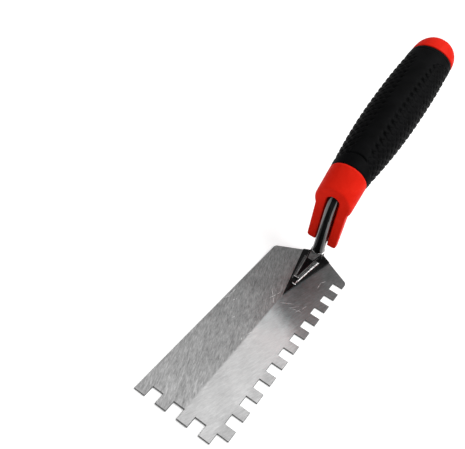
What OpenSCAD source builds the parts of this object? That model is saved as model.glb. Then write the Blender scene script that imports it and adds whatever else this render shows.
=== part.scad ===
// Notched margin trowel: a narrow steel blade with square notches along the front and one side,
// a welded foot, a bent round tang and a two-material handle with a finger guard.
// Frame: origin at the centre of the blade's flat underside, +Z up, +Y towards the handle,
// +X towards the notched side. Millimetres.

/* [Blade] */
// Length of the blade along Y, from the toothed front edge to the rear point
blade_l = 152.4; // [120:0.1:180]
// Width of the blade along X
blade_w = 50.8; // [45:0.1:76]
// Thickness along the two long edges
edge_t = 1.0; // [0.8:0.1:1.4]
// Thickness along the centre line
spine_t = 1.5; // [1.5:0.1:2.4]
// Length of the pointed rear end on the notched side
point_l = 13.4; // [8:0.1:16]
// Length of the pointed rear end on the plain side
plain_point_l = 15.6; // [8:0.1:18]
// Radius of the two rear shoulders
shoulder_r = 3; // [1:0.5:6]

/* [Notches] */
// Width and depth of each square notch, and of each tooth between them
notch = 6.35; // [4:0.05:7]
// Number of notches along the side behind the cut-away corner
side_notches = 10; // [4:1:10]
// Number of notches along the front before the cut-away corner
front_notches = 3; // [1:1:3]

/* [Foot] */
// Length of the foot along the blade
foot_l = 50.2; // [40:0.1:56]
// Width of the foot at its rear corners
foot_w = 19; // [16:0.1:24]
// Thickness of the foot's thin edge above the blade's centre line
foot_t = 1.1; // [0.8:0.1:2]
// Height of the wedge's top above the blade's underside, at the shank
wedge_h = 8.8; // [8:0.1:12]

/* [Tang] */
// Diameter of the shank where it leaves the foot
shank_d = 7.7; // [7:0.1:8]
// Diameter of the bar above the shank's taper
rod_d = 6.6; // [6:0.1:7]
// Diameter of the fluted end inside the handle
tang_d = 7; // [6.8:0.1:8]
// Distance of the shank's lower end behind the blade's centre
shank_y = 69.1; // [64:0.1:70]
// Forward lean of the shank, in degrees from upright
shank_lean = 13.4; // [5:0.1:18]
// Length of the shank's centre line up to the handle's axis
shank_l = 53.8; // [48:0.1:60]
// Bend radius of the bar's centre line
bend_r = 16; // [14:0.5:18]
// Length of bar inside the handle, behind the collar
rod_in_l = 62; // [40:1:70]

/* [Handle] */
// Slope of the handle's axis, in degrees above level
handle_slope = 24.3; // [15:0.1:30]
// Length of the collar along the handle's axis
collar_l = 15.8; // [15:0.1:20]
// Diameter of the collar at its front
collar_d = 23.5; // [22:0.1:24]
// Length of the handle behind the collar, up to the start of its domed end
grip_l = 105; // [95:0.1:120]
// Grip diameter at its front end
grip_front_d = 23.8; // [23.4:0.1:26]
// Largest grip diameter
grip_d = 32; // [29:0.1:35]
// Grip diameter at its rear end
grip_rear_d = 27.8; // [26:0.1:28.8]
// Wall of the soft grip over the core
grip_wall = 3; // [2:0.1:4]
// Length of the domed end
cap_l = 13.5; // [10:0.1:16]
// Distance of the joint between grip and end cap behind the collar, along the handle's axis
seam_l = 106; // [104:0.1:107]
// Slant of that joint from square, in degrees, nearer the collar on top
seam_slant = 13.4; // [0:0.1:15]

/* [Finger guard] */
// Overall width of the guard
fork_w = 19.8; // [18:0.1:20.6]
// Width of the channel that the shank lies in, between the two prongs
slot_w = 8.4; // [8.2:0.1:9]
// Depth of the guard behind the shank's centre line, at its top
fork_depth = 8; // [7:0.1:9]
// Depth of the guard behind the shank's centre line, at its lower end
fork_end_depth = 5.2; // [5:0.1:8]
// Height of the guard's lower end along the shank, above the shank's lower end
fork_low = 11.5; // [10:0.1:20]

/* [Hidden] */
$fn = 64;

pitch = 2 * notch;
point_a = atan2(point_l, blade_w / 2);
plain_point_a = atan2(plain_point_l, blade_w / 2);
arc_steps = 8;

// Rear edge and tip of the foot along Y, and the half-width of its blunt rear point
foot_gap = 0.6;
foot_rear_y = blade_l / 2 - foot_gap;
foot_tip_y = foot_rear_y - foot_l;
foot_point_w = 1.5;
// Ends of the raised step and of the wedge on it: distance from the foot's tip, half-width, height
step_front = [11.2, 2.3, 3.6];
step_rear = [37.5, 5.7, 4.6];
wedge_front = [14.4, 1.5, 6.6];
wedge_rear = [foot_l - 7, 4.3, wedge_h];
// Panel sunk into the wedge's top: its two ends, its half-width at the rear and its depth there
panel_front = 16.5;
panel_rear = 32.5;
panel_w = 2.3;
panel_depth = 1.6;
panel_front_depth = 0.2;
// Boss round the shank's lower end: its wall, and how far it reaches below and above that end
boss_wall = 0.6;
boss_low = 6;
boss_high = 3.4;
boss_clip = 20;
boss_rise = 0.8;

foot_base_z = 6;
turn = 90 + shank_lean - handle_slope;
bend_run = bend_r * tan(turn / 2);
joint_y = shank_y - shank_l * sin(shank_lean);
joint_z = foot_base_z + shank_l * cos(shank_lean);
socket_depth = 3.2;

// Place of the grip's thickest section along its length, and the roundness of its front and rear
belly = 56;
front_pow = 2;
rear_pow = 2.5;
profile_steps = 24;
// Distance of the collar's front centre below the bend's corner, along the shank
collar_drop = 5.8;
// Rounding of the collar's front edge
collar_round = 1.6;
spigot_r = 7.5;
spigot_l = 6;
plug_r = 7;
plug_l = 12;
cavity_l = 34;
// Length past the start of the dome that the slanting joint can reach
seam_room = 5;
// Roundness of the dome, and the number of steps it is drawn with
dome_steps = 12;
dome_side_pow = 0.62;
dome_end_pow = 0.85;

// Points of an arc round centre c, from angle a0 to a1
function arc(c, r, a0, a1) = [for (i = [0 : arc_steps])
    let (a = a0 + (a1 - a0) * i / arc_steps) [c[0] + r * cos(a), c[1] + r * sin(a)]];

// Radius of the grip at distance s behind the collar
function grip_r(s) = s < belly
    ? grip_d / 2 - (grip_d - grip_front_d) / 2 * pow((belly - s) / belly, front_pow)
    : grip_d / 2 - (grip_d - grip_rear_d) / 2 * pow((s - belly) / (grip_l - belly), rear_pow);

// Half-profile of the grip as [radius, distance], reduced by inset
function grip_profile(inset) = [for (i = [0 : profile_steps]) let (s = grip_l * i / profile_steps)
    [grip_r(s) - inset, s]];

// The same points in the opposite order
function reversed(points) = [for (i = [len(points) - 1 : -1 : 0]) points[i]];

// Local frame with +Z up the shank and +Y behind it
module at_shank() {
    translate([0, shank_y, foot_base_z]) rotate([shank_lean, 0, 0]) children();
}

// Local frame with +Z along the handle towards its end, from the grip's front end
module at_handle() {
    translate([0, joint_y + collar_l * cos(handle_slope), joint_z + collar_l * sin(handle_slope)])
        rotate([handle_slope - 90, 0, 0]) children();
}

// Blade section, flat below and ridged above, as one long bar
module blade_stock() {
    translate([0, blade_l / 2, 0]) rotate([90, 0, 0]) linear_extrude(blade_l)
        polygon([[-blade_w / 2, 0], [blade_w / 2, 0], [blade_w / 2, edge_t], [0, spine_t],
                 [-blade_w / 2, edge_t]]);
}

// Place along Y of the centre of a rear shoulder's rounding, for a rear edge sloping at angle a
function shoulder_y(a) = blade_l / 2 - blade_w / 2 * tan(a) - shoulder_r * (1 / cos(a) - tan(a));

// Blade outline before notching, with rounded shoulders
module blade_outline() {
    corner_x = blade_w / 2 - shoulder_r;
    polygon(concat([[-blade_w / 2, -blade_l / 2], [blade_w / 2, -blade_l / 2]],
        arc([corner_x, shoulder_y(point_a)], shoulder_r, 0, 90 - point_a),
        [[0, blade_l / 2]],
        arc([-corner_x, shoulder_y(plain_point_a)], shoulder_r, 90 + plain_point_a, 180)));
}

// Every square notch: the cut-away corner, then along the side and along the front
module notches() {
    for (i = [0 : side_notches]) {
        translate([blade_w / 2 - notch, -blade_l / 2 + i * pitch - (i == 0 ? notch : 0)])
            square([2 * notch, i == 0 ? 2 * notch : notch]);
    }
    for (i = [1 : front_notches]) {
        translate([blade_w / 2 - notch - i * pitch, -blade_l / 2 - notch]) square([notch, 2 * notch]);
    }
}

module blade() {
    color("silver") intersection() {
        blade_stock();
        linear_extrude(spine_t + 1) difference() {
            blade_outline();
            notches();
        }
    }
}

// Block between two ends given as [distance from the foot's tip, half-width, height]
module taper_block(front, rear) {
    y0 = foot_tip_y + front[0];
    y1 = foot_tip_y + rear[0];
    intersection() {
        linear_extrude(max(front[2], rear[2]))
            polygon([[-front[1], y0], [front[1], y0], [rear[1], y1], [-rear[1], y1]]);
        rotate([90, 0, 90]) translate([0, 0, -rear[1] - 1]) linear_extrude(2 * rear[1] + 2)
            polygon([[y0, 0], [y1, 0], [y1, rear[2]], [y0, front[2]]]);
    }
}

// Thin triangular skirt of the foot that lies on the blade
module foot_skirt() {
    half = foot_w / 2;
    linear_extrude(spine_t + foot_t)
        polygon([[0, foot_tip_y], [half, foot_rear_y - half * tan(point_a)],
                 [foot_point_w, foot_rear_y - foot_point_w * tan(plain_point_a)],
                 [-foot_point_w, foot_rear_y - foot_point_w * tan(plain_point_a)],
                 [-half, foot_rear_y - half * tan(plain_point_a)]]);
}

// Boss round the lower end of the shank, kept in front of the foot's rear edge
module foot_boss() {
    intersection() {
        at_shank() translate([0, 0, -boss_low])
            cylinder(d = shank_d + 2 * boss_wall, h = boss_low + boss_high);
        translate([-boss_clip / 2, foot_rear_y - boss_clip, 0])
            cube([boss_clip, boss_clip - foot_gap, wedge_h + boss_rise]);
    }
}

// Shallow panel sunk into the wedge's top, deepest at its rear
module foot_panel() {
    difference() {
        linear_extrude(wedge_h + 1)
            polygon([[0, foot_tip_y + panel_front], [panel_w, foot_tip_y + panel_rear],
                     [-panel_w, foot_tip_y + panel_rear]]);
        taper_block([wedge_front[0], wedge_rear[1], wedge_front[2] - panel_front_depth],
                    [wedge_rear[0], wedge_rear[1], wedge_h - panel_depth]);
    }
}

module foot() {
    color("dimgray") difference() {
        union() {
            foot_skirt();
            taper_block(step_front, step_rear);
            taper_block(wedge_front, wedge_rear);
            foot_boss();
        }
        blade_stock();
        at_shank() translate([0, 0, -socket_depth]) cylinder(d = shank_d, h = 20);
        foot_panel();
    }
}

// Bent round bar from the foot into the handle, with its radius enlarged by grow
module bar(grow) {
    shank_top = shank_l - bend_run;
    bend_overlap = 0.3;
    handle_start = bend_run - collar_l - bend_overlap;
    chamfer = 1.5;
    top_d = rod_d + 2 * grow;
    tang_r = tang_d / 2 + grow;
    at_shank() {
        translate([0, 0, -socket_depth]) cylinder(d = shank_d + 2 * grow, h = socket_depth);
        cylinder(d1 = shank_d + 2 * grow, d2 = top_d, h = shank_top);
        translate([0, bend_r, shank_top]) rotate([90, 0, -90])
            rotate_extrude(angle = turn) translate([bend_r, 0]) circle(d = top_d);
    }
    at_handle() rotate_extrude()
        polygon([[0, handle_start], [tang_r, handle_start], [tang_r, rod_in_l - chamfer],
                 [tang_r - chamfer, rod_in_l], [0, rod_in_l]]);
}

module tang_rod() {
    flute_d = 1.2;
    flute_l = 22;
    flute_end = 8;
    color("#202022") difference() {
        bar(0);
        // flutes that key the bar in the moulded core
        at_handle() for (a = [0 : 60 : 300]) {
            rotate([0, 0, a]) translate([tang_d / 2, 0, rod_in_l - flute_l - flute_end])
                cylinder(d = flute_d, h = flute_l);
        }
    }
}

// Rectangle centred on X from y0 to y1, with the corners at its -Y end rounded
module round_ended(w, y0, y1, r) {
    translate([-w / 2, y0 + r]) square([w, y1 - y0 - r]);
    translate([-w / 2 + r, y0]) square([w - 2 * r, y1 - y0]);
    for (x = [r - w / 2, w / 2 - r]) {
        translate([x, y0 + r]) circle(r = r);
    }
}

// Finger guard behind the shank in the shank's frame, before the channel is cut
module guard_tongue() {
    back_r = 3;
    end_r = 2;
    reach = 2;
    top = shank_l - reach;
    tongue_l = top - fork_low;
    taper = atan((fork_depth - fork_end_depth) / tongue_l);
    intersection() {
        // plan with rounded back corners, tilted so that the back comes forward lower down
        translate([0, fork_depth, top]) rotate([-taper, 0, 0])
            translate([0, 0, -tongue_l - reach]) linear_extrude(tongue_l + 2 * reach)
                mirror([0, 1]) round_ended(fork_w, 0, fork_depth + 2 * reach, back_r);
        // front view with rounded lower corners
        rotate([90, 0, 0]) translate([0, 0, -fork_depth - 1]) linear_extrude(fork_depth + 1)
            round_ended(fork_w, fork_low, top, end_r);
    }
}

// Thin round disc, one of the stations that the collar's body is stretched over
module station(d) {
    cylinder(d = d, h = 1, $fn = 48);
}

// Round body of the collar, bent down from the grip's front end to the flat front face
module collar_body() {
    hull() {
        at_handle() translate([0, 0, -1]) station(grip_front_d);
        at_shank() translate([0, 0, shank_l - collar_drop]) rotate([-90, 0, 0]) {
            station(collar_d - 2 * collar_round);
            translate([0, 0, collar_round / 4]) station(collar_d - 0.7 * collar_round);
            translate([0, 0, collar_round]) station(collar_d);
        }
    }
}

module guard_collar() {
    arch_drop = 4.6;
    channel_top = shank_l - arch_drop;
    front = 5;
    arch_back = 3;
    bar_clear = 0.2;
    color("red") difference() {
        union() {
            collar_body();
            at_shank() guard_tongue();
        }
        // channel that the shank lies in, open in front, with a round top where the shank comes out
        at_shank() {
            cylinder(d = slot_w, h = channel_top);
            translate([-slot_w / 2, -front, 0]) cube([slot_w, front, channel_top]);
            translate([0, arch_back, channel_top]) rotate([90, 0, 0])
                cylinder(d = slot_w, h = arch_back + front);
        }
        bar(bar_clear);
        at_handle() translate([0, 0, -spigot_l]) cylinder(r = spigot_r, h = spigot_l + 1);
    }
}

// Everything behind the slanting joint between grip and end cap
module behind_seam() {
    room = 40;
    at_handle() translate([0, 0, seam_l]) rotate([seam_slant, 0, 0])
        translate([-room / 2, -room / 2, 0]) cube(room);
}

// Full outer shape of the handle: the grip's swelling and the dome behind it
module handle_body() {
    rim_r = grip_rear_d / 2;
    at_handle() rotate_extrude()
        polygon(concat([[0, 0]], grip_profile(0), [for (i = [1 : dome_steps]) let (a = 90 * i / dome_steps)
            [rim_r * pow(cos(a), dome_side_pow), grip_l + cap_l * pow(sin(a), dome_end_pow)]]));
}

// Inside of the soft grip, carried on behind the joint
module grip_inside() {
    inner_end_r = grip_rear_d / 2 - grip_wall;
    at_handle() rotate_extrude()
        polygon(concat([[0, 0]], grip_profile(grip_wall),
            [[inner_end_r, grip_l + seam_room], [0, grip_l + seam_room]]));
}

module handle_core() {
    color("firebrick") difference() {
        union() {
            at_handle() translate([0, 0, -spigot_l]) cylinder(r = spigot_r, h = spigot_l);
            grip_inside();
        }
        behind_seam();
        // cavity behind the bar, closed by the end cap's plug
        at_handle() translate([0, 0, grip_l - cavity_l]) cylinder(r = plug_r, h = cavity_l + seam_room);
        tang_rod();
    }
}

module grip_sleeve() {
    color("#1c1c1c") difference() {
        handle_body();
        grip_inside();
        behind_seam();
    }
}

module end_cap() {
    color("red") {
        intersection() {
            handle_body();
            behind_seam();
        }
        at_handle() translate([0, 0, grip_l - plug_l]) cylinder(r = plug_r, h = plug_l + seam_room);
    }
}

blade();
foot();
tang_rod();
guard_collar();
handle_core();
grip_sleeve();
end_cap();
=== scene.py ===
"""Looks of a notched margin trowel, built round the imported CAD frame.

Metres, Z up, +Y towards the handle, +X towards the notched side.
"""

import math
import random

import bmesh
import bpy
import numpy as np
from mathutils import Matrix, Vector


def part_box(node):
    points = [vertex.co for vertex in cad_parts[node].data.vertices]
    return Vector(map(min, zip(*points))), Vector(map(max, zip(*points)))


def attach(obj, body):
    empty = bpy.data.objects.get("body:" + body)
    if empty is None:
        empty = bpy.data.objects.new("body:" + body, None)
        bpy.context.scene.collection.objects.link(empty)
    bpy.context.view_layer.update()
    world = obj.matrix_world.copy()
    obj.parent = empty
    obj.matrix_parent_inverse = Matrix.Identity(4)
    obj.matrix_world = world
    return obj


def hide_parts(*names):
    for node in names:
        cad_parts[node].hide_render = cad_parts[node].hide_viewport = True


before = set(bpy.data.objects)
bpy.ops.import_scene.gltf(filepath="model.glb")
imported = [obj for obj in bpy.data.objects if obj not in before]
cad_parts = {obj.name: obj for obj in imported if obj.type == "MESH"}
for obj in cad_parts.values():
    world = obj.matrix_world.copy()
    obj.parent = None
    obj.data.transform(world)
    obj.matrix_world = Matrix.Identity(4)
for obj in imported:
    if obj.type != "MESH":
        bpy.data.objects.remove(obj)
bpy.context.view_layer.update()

MM = 0.001

# ---------------------------------------------------------------- local frames, from the CAD nodes

SLOPE = math.radians(24.3)  # handle axis above level
LEAN = math.radians(13.4)  # shank's forward lean
COLLAR_L = 15.8 * MM
SHANK_L = 53.8 * MM
GRIP_L = 105 * MM
CAP_L = 13.5 * MM
FRONT_R, BELLY_R, REAR_R = 11.9 * MM, 16 * MM, 13.9 * MM
BELLY_S = 56 * MM
SEAM_L = 106 * MM  # slanting joint of grip and cap, on the handle's axis
SEAM_TAN = math.tan(math.radians(13.4))  # slant of that joint from square

NOTCH = 6.35 * MM  # side of a square notch, and of the tooth beside it
SIDE_NOTCHES, FRONT_NOTCHES = 10, 3
EDGE_T = 1.0 * MM  # blade's thickness along its two long edges
HALF_W = 25.4 * MM
POINT_L, PLAIN_POINT_L = 13.4 * MM, 15.6 * MM  # pointed rear end, notched side and plain side
SHOULDER_R = 3 * MM
FOOT_L = 50.2 * MM
FOOT_LOW = 0.9 * MM  # the foot's solids start here, inside the blade, and are cut off above it
FOOT_SPLIT = 14.6  # where the painted highlight strip on the step begins, in mm behind the foot's tip
STRIP_X = 1.3  # inner edge of that strip, in mm from the centre line
BOSS_R = 4.45 * MM
BEND_R = 16 * MM
SHANK_R, ROD_R = 3.85 * MM, 3.3 * MM

X_AXIS = np.array([1.0, 0.0, 0.0])
ALONG = np.array([0.0, math.cos(SLOPE), math.sin(SLOPE)])
ABOVE = np.array([0.0, -math.sin(SLOPE), math.cos(SLOPE)])
SHANK_UP = np.array([0.0, -math.sin(LEAN), math.cos(LEAN)])
SHANK_BACK = np.array([0.0, math.cos(LEAN), math.sin(LEAN)])


def grip_radius(s):
    """Radius of the grip at distance s behind the collar."""
    s = np.asarray(s, float)
    front = BELLY_R - (BELLY_R - FRONT_R) * (np.clip(BELLY_S - s, 0, None) / BELLY_S) ** 2
    rear = (BELLY_R - REAR_R) * (np.clip(s - BELLY_S, 0, None) / (GRIP_L - BELLY_S)) ** 2.5
    return front - rear


def body_radius(s):
    """Radius of the whole handle at distance s, with the domed end behind the grip."""
    t = np.clip((s - GRIP_L) / CAP_L, 0, 1) ** (1 / 0.85)
    dome = REAR_R * np.clip(1 - t * t, 0, 1) ** 0.31
    return np.where(s <= GRIP_L, grip_radius(np.minimum(s, GRIP_L)), dome)


def seam(theta):
    """Distance of the grip's rear edge behind the collar, at angle theta from the top."""
    return SEAM_L - SEAM_TAN * (REAR_R - 0.1 * MM) * np.cos(theta)


def handle_origin():
    """Centre of the grip's front end, found from the lowest corner of the CAD grip."""
    s = np.linspace(0, GRIP_L, 400)
    r = grip_radius(s)
    low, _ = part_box("grip_sleeve")
    y = (s * ALONG[1] - r * abs(ABOVE[1])).min()
    z = (s * ALONG[2] - r * ABOVE[2]).min()
    return np.array([0.0, low.y - y, low.z - z])


H0 = handle_origin()
SHANK0 = H0 - COLLAR_L * ALONG - SHANK_L * SHANK_UP


def at_handle(x, up, s):
    """Points from coordinates across, above and along the handle."""
    x, up, s = np.broadcast_arrays(x, up, s)
    return H0 + x[..., None] * X_AXIS + up[..., None] * ABOVE + s[..., None] * ALONG


# ---------------------------------------------------------------- mesh helpers


def linked(name, data):
    """New object in the scene with the given mesh, light or camera."""
    ob = bpy.data.objects.new(name, data)
    bpy.context.scene.collection.objects.link(ob)
    return ob


def shade_smooth(me):
    me.polygons.foreach_set("use_smooth", [True] * len(me.polygons))


def give(ob, *materials):
    """Put the materials in the object's slots, in order."""
    for material in materials:
        ob.data.materials.append(material)


def mesh_object(name, verts, faces):
    me = bpy.data.meshes.new(name)
    me.from_pydata([tuple(map(float, v)) for v in verts], [], [tuple(f) for f in faces])
    me.validate()
    me.update()
    shade_smooth(me)
    return linked(name, me)


def bmesh_object(name, bm, smooth=True):
    bmesh.ops.recalc_face_normals(bm, faces=bm.faces)
    me = bpy.data.meshes.new(name)
    bm.to_mesh(me)
    bm.free()
    if smooth:
        shade_smooth(me)
    return linked(name, me)


def grid_faces(rows, cols):
    """Quads of a grid of rows x cols points, closed round the columns."""
    faces = []
    for i in range(rows - 1):
        a, b = i * cols, (i + 1) * cols
        for j in range(cols):
            k = (j + 1) % cols
            faces.append((a + j, b + j, b + k, a + k))
    return faces


def ring(centre, u, v, radius, steps):
    """Circle of points round centre, in the plane of the unit vectors u and v."""
    a = np.linspace(0, 2 * math.pi, steps, endpoint=False)
    return centre + radius * (np.cos(a)[:, None] * u + np.sin(a)[:, None] * v)


def capped_tube(name, rings):
    """Closed solid from a list of rings with equal point counts."""
    n = len(rings[0])
    verts = np.concatenate(rings)
    faces = grid_faces(len(rings), n)
    faces.append(tuple(range(n)))
    faces.append(tuple(reversed(range(len(verts) - n, len(verts)))))
    ob = mesh_object(name, verts, faces)
    bm = bmesh.new()
    bm.from_mesh(ob.data)
    bmesh.ops.recalc_face_normals(bm, faces=bm.faces)
    bm.to_mesh(ob.data)
    bm.free()
    return ob


def put_in_order(bm):
    """Sort vertices and faces by place, because a bevel can leave them in a new order each run."""
    for elements, place in ((bm.verts, lambda v: v.co), (bm.faces, lambda f: f.calc_center_median())):
        by_place = sorted(elements, key=lambda e: tuple(round(c / MM, 3) for c in place(e)))
        rank = {e: i for i, e in enumerate(by_place)}
        elements.sort(key=lambda e: rank[e])


def apply_modifiers(ob):
    """Replace the object's mesh by its modified one."""
    dg = bpy.context.evaluated_depsgraph_get()
    me = bpy.data.meshes.new_from_object(ob.evaluated_get(dg))
    old = ob.data
    ob.modifiers.clear()
    ob.data = me
    me.name = ob.name
    bpy.data.meshes.remove(old)


def weighted(ob):
    """Flatten the shading of broad faces, so that only the bevels look round."""
    m = ob.modifiers.new("normals", "WEIGHTED_NORMAL")
    m.keep_sharp = False
    m.weight = 80


def smoothstep(a, b, x):
    t = np.clip((x - a) / (b - a), 0, 1)
    return t * t * (3 - 2 * t)


# ---------------------------------------------------------------- material helpers


class Nodes:
    """Short way to write a node graph for one material."""

    def __init__(self, name):
        self.mat = bpy.data.materials.new(name)
        self.mat.use_nodes = True
        self.t = self.mat.node_tree
        self.t.nodes.clear()
        out = self.t.nodes.new("ShaderNodeOutputMaterial")
        self.bsdf = self.t.nodes.new("ShaderNodeBsdfPrincipled")
        self.t.links.new(self.bsdf.outputs[0], out.inputs[0])
        self.coord = self.t.nodes.new("ShaderNodeTexCoord").outputs["Object"]

    def put(self, socket, value):
        """Link a socket, or set its own value."""
        if isinstance(value, bpy.types.NodeSocket):
            self.t.links.new(value, socket)
        elif value is not None:
            socket.default_value = value

    def shader(self, **values):
        for k, v in values.items():
            self.put(self.bsdf.inputs[k.replace("_", " ")], v)

    def math(self, op, a, b=None, c=None):
        n = self.t.nodes.new("ShaderNodeMath")
        n.operation = op
        for i, v in enumerate((a, b, c)):
            self.put(n.inputs[i], v)
        return n.outputs[0]

    def split(self, vec):
        n = self.t.nodes.new("ShaderNodeSeparateXYZ")
        self.put(n.inputs[0], vec)
        return n.outputs[0], n.outputs[1], n.outputs[2]

    def mapped(self, vec, scale=(1, 1, 1), turn=(0, 0, 0)):
        n = self.t.nodes.new("ShaderNodeMapping")
        self.put(n.inputs["Vector"], vec)
        n.inputs["Scale"].default_value = scale
        n.inputs["Rotation"].default_value = turn
        return n.outputs[0]

    def noise(self, vec, scale, detail=2.0, rough=0.5, warp=0.0):
        n = self.t.nodes.new("ShaderNodeTexNoise")
        self.put(n.inputs["Vector"], vec)
        n.inputs["Scale"].default_value = scale
        n.inputs["Detail"].default_value = detail
        n.inputs["Roughness"].default_value = rough
        n.inputs["Distortion"].default_value = warp
        return n.outputs["Fac"]

    def span(self, value, a, b, lo=0.0, hi=1.0, smooth=False):
        """Map value from a..b to lo..hi, held at both ends."""
        n = self.t.nodes.new("ShaderNodeMapRange")
        n.interpolation_type = "SMOOTHSTEP" if smooth else "LINEAR"
        for i, v in enumerate((value, a, b, lo, hi)):
            self.put(n.inputs[i], v)
        return n.outputs[0]

    def mix(self, fac, a, b, kind="MIX"):
        n = self.t.nodes.new("ShaderNodeMix")
        n.data_type = "RGBA"
        n.blend_type = kind
        self.put(n.inputs["Factor"], fac)
        self.put(n.inputs[6], a)
        self.put(n.inputs[7], b)
        return n.outputs[2]

    def ramp(self, fac, stops):
        """Colour ramp through stops of (position, grey or colour)."""
        n = self.t.nodes.new("ShaderNodeValToRGB")
        self.put(n.inputs[0], fac)
        e = n.color_ramp.elements
        while len(e) < len(stops):
            e.new(0.5)
        for i, (p, c) in enumerate(stops):
            e[i].position = p
            e[i].color = (*c, 1) if isinstance(c, tuple) else (c, c, c, 1)
        return n.outputs[0]

    def stroke(self, x, y, a, b, width):
        """Mask of a straight scratch from a to b, in millimetres, fading at both ends."""
        ax, ay, bx, by = (v * MM for v in (*a, *b))
        length = math.hypot(bx - ax, by - ay)
        ux, uy = (bx - ax) / length, (by - ay) / length
        dx, dy = self.math("SUBTRACT", x, (ax + bx) / 2), self.math("SUBTRACT", y, (ay + by) / 2)
        along = self.math("ADD", self.math("MULTIPLY", dx, ux), self.math("MULTIPLY", dy, uy))
        across = self.math("SUBTRACT", self.math("MULTIPLY", dx, uy), self.math("MULTIPLY", dy, ux))
        near = self.span(self.math("ABSOLUTE", across), width * MM / 2, width * MM / 6)
        within = self.span(self.math("ABSOLUTE", along), length / 2, length / 2 * 0.6)
        return self.math("MULTIPLY", near, within)

    def bump(self, height, distance, strength=1.0, normal=None):
        n = self.t.nodes.new("ShaderNodeBump")
        n.inputs["Distance"].default_value = distance
        n.inputs["Strength"].default_value = strength
        self.put(n.inputs["Height"], height)
        if normal is not None:
            self.put(n.inputs["Normal"], normal)
        return n.outputs[0]


# groups of scratches on the blade's top, in millimetres and degrees: how many, the group's
# middle (x, y), how far they stray from it, their length, their heading and their width
SCRATCH_GROUPS = [
    (2, (-5, 20), 3, 12, 105, 0.3),
    (5, (10, 25), 5, 8, 50, 0.28),
    (2, (15, 50), 3, 5, 60, 0.4),
    (3, (-22, 5), 3, 6, 75, 0.35),
    (3, (-5, -10), 8, 5, 80, 0.3),
]


def scratches():
    """Start, end and width of each scratch, strewn about its group's middle."""
    rng = random.Random(5)
    strewn = []
    for count, (x, y), stray, length, heading, width in SCRATCH_GROUPS:
        for _ in range(count):
            mx = x + rng.uniform(-stray, stray)
            my = y + rng.uniform(-stray, stray)
            turn = math.radians(heading + rng.uniform(-35, 35))
            half = 0.5 * length * rng.uniform(0.5, 1.2)
            dx, dy = half * math.cos(turn), half * math.sin(turn)
            strewn.append(((mx - dx, my - dy), (mx + dx, my + dy), width))
    return strewn


def ground_steel():
    """Ground and lightly scratched steel, with painted reflection and shade in its colour. The grain fans
    out from the blade's ridge.
    """
    g = Nodes("ground_steel")
    x, y, _ = g.split(g.coord)
    half_l = 76.2 * MM
    # 1 on the notched side of the ridge, 0 on the plain side, with a soft line between
    side = g.span(x, -0.0006, 0.0006, smooth=True)
    grain = []
    for turn in (-20, 17):
        v = g.mapped(g.coord, turn=(0, 0, math.radians(turn)))
        fine = g.noise(g.mapped(v, scale=(1, 0.09, 1)), 3000, 3.0, 0.7)
        wide = g.noise(g.mapped(v, scale=(1, 0.2, 1)), 1100, 4.0, 0.75, 0.4)
        grain.append(g.math("ADD", g.math("MULTIPLY", fine, 0.45), g.math("MULTIPLY", wide, 0.55)))
    streak = g.math("ADD", g.math("MULTIPLY", grain[0], g.math("SUBTRACT", 1.0, side)),
                    g.math("MULTIPLY", grain[1], side))
    cloud = g.noise(g.coord, 60, 4.0, 0.6)
    # painted reflection and shade: tones along the blade, darker at the rear by the handle and lighter
    # towards the front, different on either side of the ridge
    along = g.span(y, half_l, -half_l)
    plain_side_painted_tone = g.ramp(along, [(0.0, 0.25), (0.35, 0.28), (0.55, 0.37), (0.8, 0.42), (1.0, 0.46)])
    # on the notched side the painted dark reflection by the foot ends in a wavering, slanting edge
    wobble = g.math("MULTIPLY_ADD", g.noise(g.coord, 55, 2.0), 0.014, g.math("SUBTRACT", y, 0.007))
    wobble = g.math("ADD", wobble, g.math("MULTIPLY", x, 0.55))
    notched_side_painted_tone = g.ramp(g.span(wobble, half_l, -half_l),
                     [(0.0, 0.21), (0.36, 0.28), (0.40, 0.48), (0.44, 0.68), (0.75, 0.60), (1.0, 0.52)])
    tone = g.mix(side, plain_side_painted_tone, notched_side_painted_tone)
    # the teeth are a little darker
    tone = g.mix(g.span(x, 0.0170, 0.0215, 0.0, 0.30), tone, (0.22, 0.22, 0.22, 1))
    contrast = g.span(side, 0.0, 1.0, 0.75, 0.34)
    tone = g.mix(contrast, tone, g.ramp(streak, [(0.34, 0.2), (0.5, 0.5), (0.68, 0.9)]), "OVERLAY")
    tone = g.mix(0.4, tone, g.ramp(cloud, [(0.3, 0.35), (0.7, 0.65)]), "OVERLAY")
    # bright scratches, broken up along their length
    marks = 0.0
    for a, b, width in scratches():
        marks = g.math("MAXIMUM", marks, g.stroke(x, y, a, b, width))
    marks = g.math("MULTIPLY", marks, g.span(g.noise(g.coord, 900, 2.0), 0.36, 0.52))
    tone = g.mix(marks, tone, (1.0, 1.0, 1.0, 1))
    # painted faint blue on the rear of the notched side, cancelling part of the red that the collar
    # reflects there
    painted_red_cancel = g.math("MULTIPLY", g.span(y, -0.008, 0.012), g.span(y, 0.066, 0.046))
    painted_red_cancel = g.math("MULTIPLY", side, painted_red_cancel)
    painted_red_cancel = g.math("MULTIPLY", painted_red_cancel, g.span(x, 0.021, 0.012))
    tone = g.mix(painted_red_cancel, tone, (0.86, 0.985, 1.0, 1), "MULTIPLY")
    g.shader(Base_Color=tone, Metallic=1.0,
             Roughness=g.span(streak, 0.3, 0.7, 0.32, 0.46),
             Normal=g.bump(streak, 0.00006, 0.5))
    return g.mat


def sheared_steel():
    """The punched walls of the notches and the cut rim: dark, with upright tear lines."""
    g = Nodes("sheared_steel")
    lines = g.noise(g.mapped(g.coord, scale=(1, 1, 0.15)), 5200, 2.0, 0.6)
    g.shader(Base_Color=g.ramp(lines, [(0.3, 0.05), (0.7, 0.2)]), Metallic=1.0,
             Roughness=g.span(lines, 0.3, 0.7, 0.4, 0.6), Normal=g.bump(lines, 0.00008, 0.6))
    return g.mat


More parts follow.
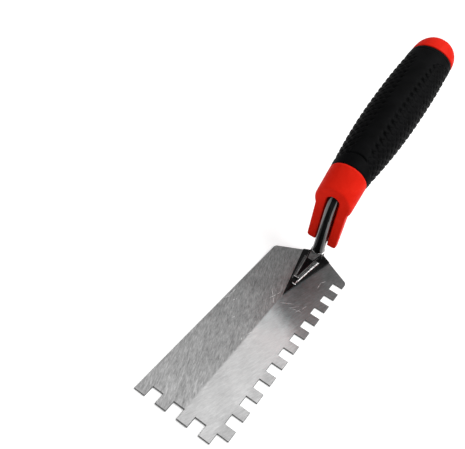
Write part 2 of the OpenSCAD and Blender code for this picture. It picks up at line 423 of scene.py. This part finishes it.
def black_lacquer():
    """Deep black lacquer with orange peel and dusty specks."""
    g = Nodes("black_lacquer")
    peel = g.noise(g.coord, 700, 2.0, 0.5)
    runs = g.noise(g.mapped(g.coord, scale=(1, 1, 0.3)), 160, 2.0, 0.5)
    specks = g.span(g.noise(g.coord, 1900, 1.0), 0.70, 0.76)
    g.shader(Base_Color=g.mix(specks, (0.003, 0.003, 0.0032, 1), (0.04, 0.04, 0.038, 1)),
             Roughness=g.span(peel, 0.3, 0.7, 0.14, 0.24), IOR=1.2,
             Normal=g.bump(peel, 0.00004, 0.5, g.bump(runs, 0.0002, 0.5)))
    return g.mat


def painted_sheen_face():
    """Painted sheen: upper faces of the foot coloured grey for the light that their black lacquer
    reflects, in uneven patches.
    """
    g = Nodes("painted_sheen_face")
    wear = g.noise(g.coord, 500, 3.0, 0.6)
    g.shader(Base_Color=g.ramp(wear, [(0.35, 0.05), (0.65, 0.12)]),
             Roughness=g.span(wear, 0.3, 0.7, 0.3, 0.5), IOR=1.4, Normal=g.bump(wear, 0.0001, 0.4))
    return g.mat


def painted_highlight_edge():
    """Painted highlight: edges and strips of the foot and the shank's bead coloured as bright steel in
    patches, for the highlights that they catch.
    """
    g = Nodes("painted_highlight_edge")
    wear = g.noise(g.coord, 420, 3.0, 0.6)
    keep = g.span(wear, 0.26, 0.42)
    g.shader(Base_Color=g.mix(keep, (0.10, 0.10, 0.10, 1), (0.80, 0.80, 0.80, 1)), Metallic=1.0,
             Roughness=g.span(wear, 0.3, 0.7, 0.22, 0.36), Normal=g.bump(wear, 0.0001, 0.4))
    return g.mat


def shank_enamel(name, ior):
    """Thin hard enamel with draw lines."""
    g = Nodes(name)
    lines = g.noise(g.mapped(g.coord, scale=(1, 1, 0.08)), 1500, 2.0, 0.5)
    patch = g.noise(g.coord, 260, 3.0, 0.6)
    g.shader(Base_Color=g.ramp(patch, [(0.35, 0.003), (0.7, 0.006)]),
             Roughness=g.span(lines, 0.3, 0.7, 0.06, 0.13), IOR=ior,
             Normal=g.bump(lines, 0.00005, 0.5))
    return g.mat


def red_plastic():
    """Satin moulded plastic with a fine spark-eroded grain and faint flow marks."""
    g = Nodes("red_plastic")
    grain = g.noise(g.coord, 2400, 3.0, 0.6)
    flow = g.noise(g.mapped(g.coord, scale=(1, 0.4, 1)), 90, 3.0, 0.6, 0.6)
    colour = g.ramp(flow, [(0.3, (0.59, 0.010, 0.003)), (0.55, (0.66, 0.014, 0.005)),
                           (0.75, (0.70, 0.022, 0.010))])
    g.shader(Base_Color=colour, Roughness=g.span(grain, 0.3, 0.7, 0.40, 0.52),
             IOR=1.12, Normal=g.bump(grain, 0.00004, 0.5))
    return g.mat


def soft_rubber():
    """Near-black moulded elastomer, matt, with a fine grain and a trace of dust."""
    g = Nodes("soft_rubber")
    grain = g.noise(g.coord, 3000, 3.0, 0.6)
    dust = g.noise(g.coord, 120, 4.0, 0.65)
    g.shader(Base_Color=g.ramp(dust, [(0.35, (0.0008, 0.0009, 0.0010)), (0.7, (0.0028, 0.0029, 0.0032))]),
             Roughness=g.span(grain, 0.3, 0.7, 0.46, 0.62), IOR=1.11,
             Normal=g.bump(grain, 0.00005, 0.5))
    return g.mat


def core_plastic():
    """Hard moulded plastic of the hidden core, dull red with sink marks."""
    g = Nodes("core_plastic")
    sink = g.noise(g.coord, 150, 3.0, 0.6)
    g.shader(Base_Color=g.ramp(sink, [(0.3, (0.30, 0.008, 0.006)), (0.7, (0.42, 0.014, 0.01))]),
             Roughness=g.span(sink, 0.3, 0.7, 0.45, 0.6), Normal=g.bump(sink, 0.0002, 0.4))
    return g.mat


STEEL = ground_steel()
SHEARED = sheared_steel()
LACQUER = black_lacquer()
PAINTED_HIGHLIGHT = painted_highlight_edge()
PAINTED_SHEEN = painted_sheen_face()
ENAMEL = shank_enamel("shank_enamel", 1.85)
# a copy of the enamel that reflects little, for the painted dark stripe down the shank's front
ENAMEL_PAINTED_DARK_STRIPE = shank_enamel("shank_enamel_painted_dark_stripe", 1.15)
RED = red_plastic()
RUBBER = soft_rubber()
CORE = core_plastic()

# ---------------------------------------------------------------- blade


def arc(cx, cy, r, a0, a1, steps=8):
    """Points of an arc round (cx, cy) from angle a0 to a1, in degrees."""
    return [(cx + r * math.cos(math.radians(a0 + (a1 - a0) * i / steps)),
             cy + r * math.sin(math.radians(a0 + (a1 - a0) * i / steps))) for i in range(steps + 1)]


def blade_outline():
    """The notched outline, anticlockwise, in metres."""
    lo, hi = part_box("blade")
    w, front, rear = hi.x, lo.y, hi.y
    n, r = NOTCH, SHOULDER_R
    pts = [(-w, front)]
    for i in range(FRONT_NOTCHES, 0, -1):
        x = w - n - i * 2 * n
        pts += [(x, front), (x, front + n), (x + n, front + n), (x + n, front)]
    pts += [(w - n, front), (w - n, front + n), (w, front + n)]
    for i in range(1, SIDE_NOTCHES + 1):
        y = front + i * 2 * n
        pts += [(w, y), (w - n, y), (w - n, y + n), (w, y + n)]
    for side, point_l in ((1, POINT_L), (-1, PLAIN_POINT_L)):
        a = math.atan2(point_l, w)
        y = rear - w * math.tan(a) - r * (1 / math.cos(a) - math.tan(a))
        turn = math.degrees(a)
        if side > 0:
            pts += arc(w - r, y, r, 0, 90 - turn) + [(0.0, rear)]
        else:
            pts += arc(-w + r, y, r, 90 + turn, 180)
    return pts


def build_blade():
    """Flat below, ridged along the centre line above, with a fine bevel round the rim."""
    lo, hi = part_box("blade")
    spine, w = hi.z, hi.x
    # remove points that repeat and add the two crossings of the ridge line
    clean = []
    for p in blade_outline():
        if not clean or (abs(p[0] - clean[-1][0]) + abs(p[1] - clean[-1][1])) > 1e-6:
            clean.append(p)
    loop = []
    for i, p in enumerate(clean):
        q = clean[(i + 1) % len(clean)]
        loop.append(p)
        if (p[0] < -1e-7 and q[0] > 1e-7) or (p[0] > 1e-7 and q[0] < -1e-7):
            t = -p[0] / (q[0] - p[0])
            loop.append((0.0, p[1] + t * (q[1] - p[1])))
    bm = bmesh.new()

    def top(p):
        return spine - (spine - EDGE_T) * abs(p[0]) / w

    vt = [bm.verts.new((p[0], p[1], top(p))) for p in loop]
    vb = [bm.verts.new((p[0], p[1], lo.z)) for p in loop]
    ridge = [i for i, p in enumerate(loop) if abs(p[0]) < 1e-7]
    a, b = ridge[0], ridge[-1]
    n = len(loop)
    bm.faces.new([vt[i] for i in range(a, b + 1)])
    bm.faces.new([vt[i % n] for i in range(b, n + a + 1)])
    bm.faces.new(list(reversed(vb)))
    for i in range(n):
        j = (i + 1) % n
        f = bm.faces.new((vb[i], vb[j], vt[j], vt[i]))
        f.material_index = 1
    bm.normal_update()
    rim = [e for e in bm.edges if len(e.link_faces) == 2
           and any(f.material_index == 1 for f in e.link_faces)
           and any(f.material_index == 0 for f in e.link_faces)]
    bmesh.ops.bevel(bm, geom=rim, offset=0.16 * MM, segments=2, profile=0.5, affect="EDGES", material=1)
    bmesh.ops.triangulate(bm, faces=[f for f in bm.faces if len(f.verts) > 4])
    put_in_order(bm)
    ob = bmesh_object("blade_ground", bm, smooth=False)
    give(ob, STEEL, SHEARED)
    return ob


# ---------------------------------------------------------------- foot


def block(name, corners_low, corners_high, bevel, top_slot=0, inset=None):
    """Closed solid between two outlines with equal point counts, with its edges bevelled."""
    bm = bmesh.new()
    a = [bm.verts.new(p) for p in corners_low]
    b = [bm.verts.new(p) for p in corners_high]
    n = len(a)
    bm.faces.new(list(reversed(a)))
    top = bm.faces.new(b)
    for i in range(n):
        j = (i + 1) % n
        bm.faces.new((a[i], a[j], b[j], b[i]))
    top.material_index = top_slot
    if inset:
        inset(bm, top)
    bm.normal_update()
    sharp = [e for e in bm.edges if len(e.link_faces) == 2 and e.calc_face_angle(0) > math.radians(12)
             and max(v.co.z for v in e.verts) > 1.7 * MM]
    bmesh.ops.bevel(bm, geom=sharp, offset=bevel, segments=3, profile=0.5, affect="EDGES",
                    clamp_overlap=True)
    ob = bmesh_object(name, bm)
    give(ob, LACQUER, PAINTED_HIGHLIGHT, PAINTED_SHEEN)
    return ob


def assign_foot_painted_light(bm, tip_y):
    """Give the foot's faces their slots: 0 lacquer, 1 painted highlight, 2 painted grey sheen."""
    step_z = 5.0  # faces below this belong to the skirt and step, the rest to the wedge and boss
    for f in bm.faces:
        c, n = f.calc_center_median(), f.normal
        t, x, z = (c.y - tip_y) / MM, c.x / MM, c.z / MM
        # slot 1 paints highlights and slot 2 paints grey sheen on the faces picked below
        if z < step_z:
            lip = t < 12.2 and x > 0.0 and n.z > 0.25 and z > 2.9
            strip = f.material_index == 2 and (x > STRIP_X or (x > 0.0 and t > FOOT_SPLIT))
            left = f.material_index == 2 and x <= 0.0 and t > FOOT_SPLIT
            f.material_index = 1 if lip or strip else (2 if left else 0)
        elif t < 15.3 and n.z > 0.1:
            f.material_index = 1
        elif t > 36.0 and z > 8.7 and 0.2 < n.z < 0.95:
            f.material_index = 1


def build_foot():
    """Skirt, step, wedge and boss joined in one closed solid, with a panel sunk into the wedge."""
    lo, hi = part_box("foot")
    tip_y, half = lo.y, hi.x
    rear_y = tip_y + FOOT_L
    spread, plain_spread = POINT_L / HALF_W, PLAIN_POINT_L / HALF_W

    def flat(points, z):
        return [(x, y, z) for x, y in points]

    def taper(y0, y1, w0, w1, h0, h1):
        p = [(-w0, y0), (w0, y0), (w1, y1), (-w1, y1)]
        low = [(x * MM, tip_y + y * MM, FOOT_LOW) for x, y in p]
        high = [(x * MM, tip_y + y * MM, (h0 if y == y0 else h1) * MM) for x, y in p]
        return low, high

    blunt = 1.5 * MM  # half-width of the foot's rear point
    plan = [(0, tip_y), (half, rear_y - half * spread), (blunt, rear_y - blunt * plain_spread),
            (-blunt, rear_y - blunt * plain_spread), (-half, rear_y - half * plain_spread)]
    skirt = block("foot", flat(plan, FOOT_LOW), flat(plan, 2.6 * MM), 0.35 * MM)
    step = block("foot_step", *taper(11.2, 37.5, 2.3, 5.7, 3.6, 4.6), 0.4 * MM, 2)

    def panel(bm, top):
        rim = 0.75 * MM
        bmesh.ops.inset_individual(bm, faces=[top], thickness=rim)
        top.material_index = 0
        c = top.calc_center_median()
        for v in top.verts:
            v.co.z -= rim
            v.co.y = tip_y + (16.6 * MM if v.co.y < c.y else 32.5 * MM)
            v.co.x *= 0.2 if v.co.y < c.y else 0.5

    wedge = block("foot_wedge", *taper(14.4, 43.2, 1.5, 4.3, 6.6, 8.8), 0.3 * MM, 2, panel)
    # rings of the boss: height along the shank and share of its radius
    rings = [ring(SHANK0 + t * MM * SHANK_UP, X_AXIS, SHANK_BACK, BOSS_R * k, 48)
             for t, k in ((-5.0, 1.0), (2.6, 1.0), (3.1, 0.96), (3.4, 0.88))]
    boss = capped_tube("foot_boss", rings)
    give(boss, LACQUER, PAINTED_HIGHLIGHT, PAINTED_SHEEN)
    for part in (step, wedge, boss):
        m = skirt.modifiers.new("join", "BOOLEAN")
        m.operation = "UNION"
        m.solver = "EXACT"
        m.object = part
    apply_modifiers(skirt)
    for part in (step, wedge, boss):
        bpy.data.objects.remove(part)
    # what lies below the blade's top or behind the blade's rear point is cut away
    bm = bmesh.new()
    bm.from_mesh(skirt.data)
    for co, no in (((0, 0, 1.02 * MM), (0, 0, -1)), ((0, rear_y + 0.2 * MM, 0), (0, 1, 0))):
        geom = bm.verts[:] + bm.edges[:] + bm.faces[:]
        cut = bmesh.ops.bisect_plane(bm, geom=geom, plane_co=co, plane_no=no, clear_outer=True)
        edges = [g for g in cut["geom_cut"] if isinstance(g, bmesh.types.BMEdge)]
        bmesh.ops.contextual_create(bm, geom=edges)
    # seams along the edges of the painted highlight strip
    for co, no in (((0, 0, 0), (1, 0, 0)), ((STRIP_X * MM, 0, 0), (1, 0, 0)),
                   ((0, tip_y + FOOT_SPLIT * MM, 0), (0, 1, 0))):
        geom = bm.verts[:] + bm.edges[:] + bm.faces[:]
        bmesh.ops.bisect_plane(bm, geom=geom, plane_co=co, plane_no=no)
    bmesh.ops.recalc_face_normals(bm, faces=bm.faces)
    assign_foot_painted_light(bm, tip_y)
    bm.to_mesh(skirt.data)
    bm.free()
    shade_smooth(skirt.data)
    weighted(skirt)
    skirt.name = "foot_lacquered"
    return skirt


# ---------------------------------------------------------------- shank


def build_rod():
    """Shank, bend and a short length inside the handle, with a weld bead at the lower end."""
    steps = 64
    turn = math.radians(90) + LEAN - SLOPE
    top = SHANK_L - BEND_R * math.tan(turn / 2)
    rings = []
    for t in (-3.2 * MM, 0.0, 0.5 * MM):
        rings.append(ring(SHANK0 + t * SHANK_UP, X_AXIS, SHANK_BACK, SHANK_R, steps))
    # bead of weld and wear where the shank leaves the boss
    for t, swell in ((3.3, 0.0), (3.45, 0.2), (3.8, 0.26), (4.15, 0.2), (4.3, 0.0)):
        radius = SHANK_R + (swell - 0.05) * MM
        rings.append(ring(SHANK0 + t * MM * SHANK_UP, X_AXIS, SHANK_BACK, radius, steps))
    for k in np.linspace(0.12, 1, 22):
        radius = SHANK_R + (ROD_R - SHANK_R) * k
        rings.append(ring(SHANK0 + k * top * SHANK_UP, X_AXIS, SHANK_BACK, radius, steps))
    centre = SHANK0 + top * SHANK_UP + BEND_R * SHANK_BACK
    for a in np.linspace(0, turn, 28)[1:]:
        out = -math.cos(a) * SHANK_BACK + math.sin(a) * SHANK_UP
        rings.append(ring(centre + BEND_R * out, X_AXIS, -out, ROD_R, steps))
    # the end inside the handle, with a chamfer
    for s, k in ((58, 1.0), (62, 0.6)):
        rings.append(ring(H0 + s * MM * ALONG, X_AXIS, -ABOVE, ROD_R * k, steps))
    ob = capped_tube("shank_lacquered", rings)
    give(ob, ENAMEL, PAINTED_HIGHLIGHT, ENAMEL_PAINTED_DARK_STRIPE)
    # glossy down the sides; down the front a copy that reflects little paints the dark stripe of the
    # reflection as shade; painted highlight on the bead
    bead = range(4 * steps, 6 * steps)
    for f in ob.data.polygons[:-2]:
        front = f.normal.y < 0 and abs(f.center.x - 0.7 * MM) < 1.3 * MM
        f.material_index = 1 if f.index in bead else (2 if front else 0)
    return ob


# ---------------------------------------------------------------- collar


def build_collar():
    """The CAD collar with its edges rounded as a moulding has them."""
    ob = linked("collar_moulded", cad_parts["guard_collar"].data.copy())
    m = ob.modifiers.new("remesh", "REMESH")
    m.mode = "VOXEL"
    m.voxel_size = 0.3 * MM
    m = ob.modifiers.new("smooth", "SMOOTH")
    m.factor = 0.5
    m.iterations = 9
    apply_modifiers(ob)
    shade_smooth(ob.data)
    ob.data.materials.clear()
    give(ob, RED)
    return ob


# ---------------------------------------------------------------- grip


def scales(s, v):
    """Height from 0 to 1 of overlapping lozenge scales at distance s along and v round the grip."""
    along, round_ = 4.7 * MM, 5.6 * MM
    p, q = s / along + v / round_, s / along - v / round_
    fp, fq = p - np.floor(p), q - np.floor(q)
    dp, dq = np.minimum(fp, 1 - fp), np.minimum(fq, 1 - fq)
    body = smoothstep(0.03, 0.26, dp) * smoothstep(0.03, 0.26, dq)
    slope = 0.45 + 0.55 * (fp + fq) / 2
    return body * slope


def build_grip():
    """Grip with scales at its sides, smooth bands above and below, dimple rows and a ring groove."""
    rows, cols = 420, 224
    th = np.linspace(-math.pi, math.pi, cols, endpoint=False)
    U, T = np.meshgrid(np.linspace(0, 1, rows), th, indexing="ij")
    END = seam(T)
    S = U * END
    R = body_radius(S)
    deg = np.degrees(np.abs(T))
    # smooth bands along the top and the underside, narrowest at the grip's middle
    mid = ((S - 52 * MM) / (50 * MM)) ** 2
    top_band, low_band = 16 + 12 * mid, 14 + 10 * mid
    inside_top = np.radians(deg - top_band) * R
    inside_low = np.radians(180 - low_band - deg) * R
    inside = np.minimum(inside_top, inside_low)
    front = S - (2.6 * MM + 6.0 * MM * np.exp(-inside / (5 * MM)))
    rear = END - 5.0 * MM - 7 * MM * np.exp(-inside / (5 * MM)) - S
    depth = np.minimum(inside, np.minimum(front, rear))
    zone = smoothstep(0, 0.9 * MM, depth)
    v = T * 13.6 * MM  # way round the grip, for an even scale size
    relief = -0.08 * MM * zone - 0.5 * MM * zone * (1 - scales(S, v))
    # slanted oval dimples along the edges of the top band
    pitch = 4.7 * MM
    slant = 0.5
    edge = np.radians(top_band + 3.5) * R
    rows_on = (S > 14 * MM) & (S < 93 * MM)
    for sign in (-1, 1):
        a = S - np.round(S / pitch) * pitch
        b = T * R * sign - edge
        ea = a * math.cos(slant) + b * math.sin(slant)
        eb = -a * math.sin(slant) + b * math.cos(slant)
        oval = np.exp(-((ea / (0.65 * MM)) ** 2 + (eb / (1.5 * MM)) ** 2))
        relief -= 0.7 * MM * oval * rows_on
    # curved groove across the top, with a smooth ring in front of it
    groove_s = 8.6 * MM - 1.2 * MM * (deg / 28) ** 2
    across = 1 - smoothstep(27, 33, deg)
    relief -= 0.7 * MM * np.exp(-(((S - groove_s) / (0.45 * MM)) ** 2)) * across
    # rounded front and rear lips, with a shallow line before the cap
    relief -= 0.5 * MM * np.exp(-S / (0.35 * MM)) + 0.45 * MM * np.exp(-(END - S) / (0.4 * MM))
    relief -= 0.25 * MM * np.exp(-(((END - S - 3.2 * MM) / (0.35 * MM)) ** 2))
    R = R + relief
    outer = at_handle(R * np.sin(T), R * np.cos(T), S).reshape(-1, 3)
    # the inside, from the rear end back to the front
    pick = [rows - 1, 3 * rows // 4, rows // 2, rows // 4, 0]
    r_in = grip_radius(np.minimum(S[pick], GRIP_L)) - 2.6 * MM
    inner = at_handle(r_in * np.sin(th), r_in * np.cos(th), S[pick]).reshape(-1, 3)
    verts = np.concatenate([outer, inner])
    faces = grid_faces(rows + len(pick), cols)
    last = (rows + len(pick) - 1) * cols
    for j in range(cols):
        k = (j + 1) % cols
        faces.append((last + j, j, k, last + k))
    ob = mesh_object("grip_scaled", verts, faces)
    ob.data.flip_normals()
    give(ob, RUBBER)
    return ob


# ---------------------------------------------------------------- end cap


def build_cap():
    """Domed cap behind the slanting seam, with a rounded rim just clear of the grip."""
    cols = 128
    th = np.linspace(0, 2 * math.pi, cols, endpoint=False)
    start, end = seam(th), GRIP_L + CAP_L
    rings = []
    for inset, gap in ((2.5, 0.30), (0.9, 0.30), (0.4, 0.40), (0.12, 0.65)):
        s = start + gap * MM
        r = body_radius(s) - inset * MM
        rings.append(at_handle(r * np.sin(th), r * np.cos(th), s))
    lip = 0.9 * MM
    for k in np.linspace(0.006, 0.985, 46):
        s = start + lip + (end - start - lip) * (1 - (1 - k) ** 3.2)
        r = body_radius(s)
        rings.append(at_handle(r * np.sin(th), r * np.cos(th), s))
    ob = capped_tube("cap_moulded", rings)
    give(ob, RED)
    return ob


# ---------------------------------------------------------------- assembly

pieces = [
    (build_blade(), "blade", "ground_steel"),
    (build_foot(), "foot", "black_lacquer"),
    (build_rod(), "tang_rod", "black_lacquer"),
    (build_collar(), "guard_collar", "red_plastic"),
    (build_grip(), "grip_sleeve", "soft_grip"),
    (build_cap(), "end_cap", "red_plastic"),
]
for piece, node, slot in pieces:
    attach(piece, "root")
    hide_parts(node)

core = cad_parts["handle_core"]
for i in range(len(core.material_slots)):
    core.material_slots[i].material = CORE

# ---------------------------------------------------------------- floor, light and camera


def build_floor():
    """Pale floor just below the blade, lit a little from within so that it stays white."""
    g = Nodes("pale_floor")
    tone = g.noise(g.coord, 3.0, 3.0, 0.5)
    g.shader(Base_Color=g.ramp(tone, [(0.3, 0.86), (0.7, 0.88)]), Roughness=0.9,
             Specular_IOR_Level=0.0, Emission_Color=(1.0, 1.0, 1.0, 1), Emission_Strength=0.28)
    bm = bmesh.new()
    bmesh.ops.create_grid(bm, x_segments=8, y_segments=8, size=3.0)
    for v in bm.verts:
        v.co.z = -0.00012
    ob = bmesh_object("floor", bm)
    give(ob, g.mat)


def build_world():
    """Soft studio dome: bright overhead, darker towards the horizon all round."""
    world = bpy.data.worlds.new("studio")
    bpy.context.scene.world = world
    world.use_nodes = True
    t = world.node_tree
    t.nodes.clear()
    out = t.nodes.new("ShaderNodeOutputWorld")
    bg = t.nodes.new("ShaderNodeBackground")
    coord = t.nodes.new("ShaderNodeTexCoord")
    sep = t.nodes.new("ShaderNodeSeparateXYZ")
    ramp = t.nodes.new("ShaderNodeValToRGB")
    t.links.new(coord.outputs["Generated"], sep.inputs[0])
    t.links.new(sep.outputs["Z"], ramp.inputs[0])
    t.links.new(ramp.outputs[0], bg.inputs[0])
    t.links.new(bg.outputs[0], out.inputs[0])
    e = ramp.color_ramp.elements
    e[0].position, e[0].color = 0.62, (0.40, 0.40, 0.40, 1)
    e[1].position, e[1].color = 0.86, (1.0, 1.0, 1.0, 1)
    bg.inputs["Strength"].default_value = 1.0


def area_light(name, place, aim, size, power):
    data = bpy.data.lights.new(name, "AREA")
    data.shape = "SQUARE"
    data.size = size
    data.energy = power
    ob = linked(name, data)
    ob.location = place
    ob.rotation_mode = "QUATERNION"
    ob.rotation_quaternion = (Vector(aim) - Vector(place)).to_track_quat("-Z", "Y")


def build_camera():
    """Camera in front of the blade and above it, a little to the notched side, and rolled."""
    cam = bpy.data.cameras.new("camera")
    cam.lens = 43.75
    cam.sensor_width = 36
    cam.clip_start, cam.clip_end = 0.01, 20
    ob = linked("camera", cam)
    # heading from +Y, tilt up from straight down, and roll, in degrees
    heading, tilt, roll = (math.radians(a) for a in (24.36, 49.65, 14.08))
    place = Vector((60.2, -200.9, 241.4)) * MM
    ob.matrix_world = (Matrix.Translation(place) @ Matrix.Rotation(heading, 4, "Z")
                       @ Matrix.Rotation(tilt, 4, "X") @ Matrix.Rotation(roll, 4, "Z"))
    bpy.context.scene.camera = ob


build_floor()
build_world()
area_light("key_light", (0.72, 0.30, 1.0), (0, 0.03, 0), 1.0, 13.0)
build_camera()
bpy.context.scene.view_settings.view_transform = "Standard"
